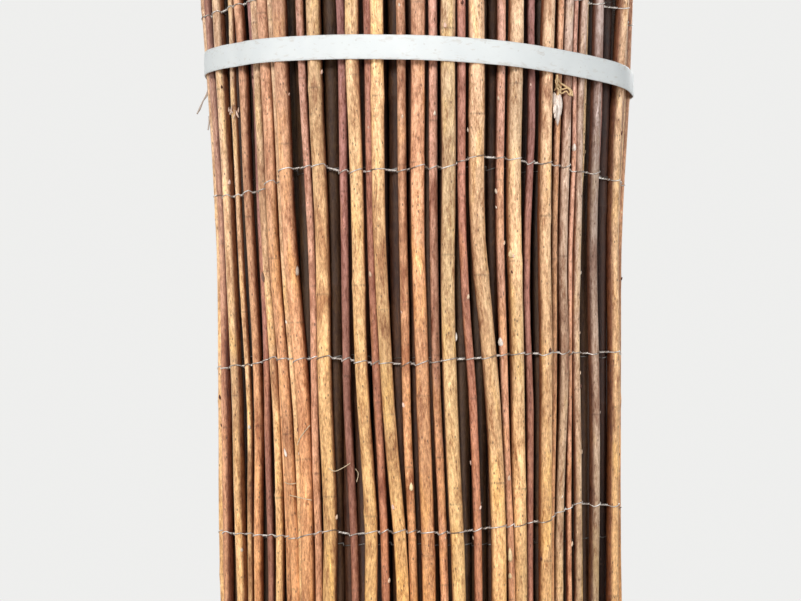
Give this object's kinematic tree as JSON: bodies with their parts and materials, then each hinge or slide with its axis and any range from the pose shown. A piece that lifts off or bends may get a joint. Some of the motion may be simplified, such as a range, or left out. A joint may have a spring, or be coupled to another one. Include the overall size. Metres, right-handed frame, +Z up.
{
  "type": "willow screening roll",
  "caption": "Upright roll of willow rods bound side by side with rows of twisted wire, wound round an open bore and held by two flat straps.",
  "frame": {"origin": "middle of the roll's foot, on the floor that it stands on", "axes": "+Z up along the rods, -Y towards the side that the picture shows, +X to the right of that view"},
  "size_m": [0.2648, 0.2721, 1],
  "materials": {
    "willow_bark": "dry willow bark, tan to red-brown, satin",
    "binding_wire": "thin galvanised wire, dull",
    "strap": "white polypropylene strap, faintly ribbed"
  },
  "bodies": {
    "root": {"rods_turn_1": "willow_bark", "rods_turn_2": "willow_bark", "rods_turn_3": "willow_bark", "rods_turn_4": "willow_bark", "rods_turn_5": "willow_bark", "rods_turn_6": "willow_bark", "binding_wire_1": "binding_wire", "binding_wire_2": "binding_wire", "binding_wire_3": "binding_wire", "binding_wire_4": "binding_wire", "binding_wire_5": "binding_wire", "binding_wire_6": "binding_wire", "binding_wire_7": "binding_wire", "binding_wire_8": "binding_wire", "binding_wire_9": "binding_wire", "binding_wire_10": "binding_wire", "upper_strap": "strap", "lower_strap": "strap"}
  },
  "joints": []
}
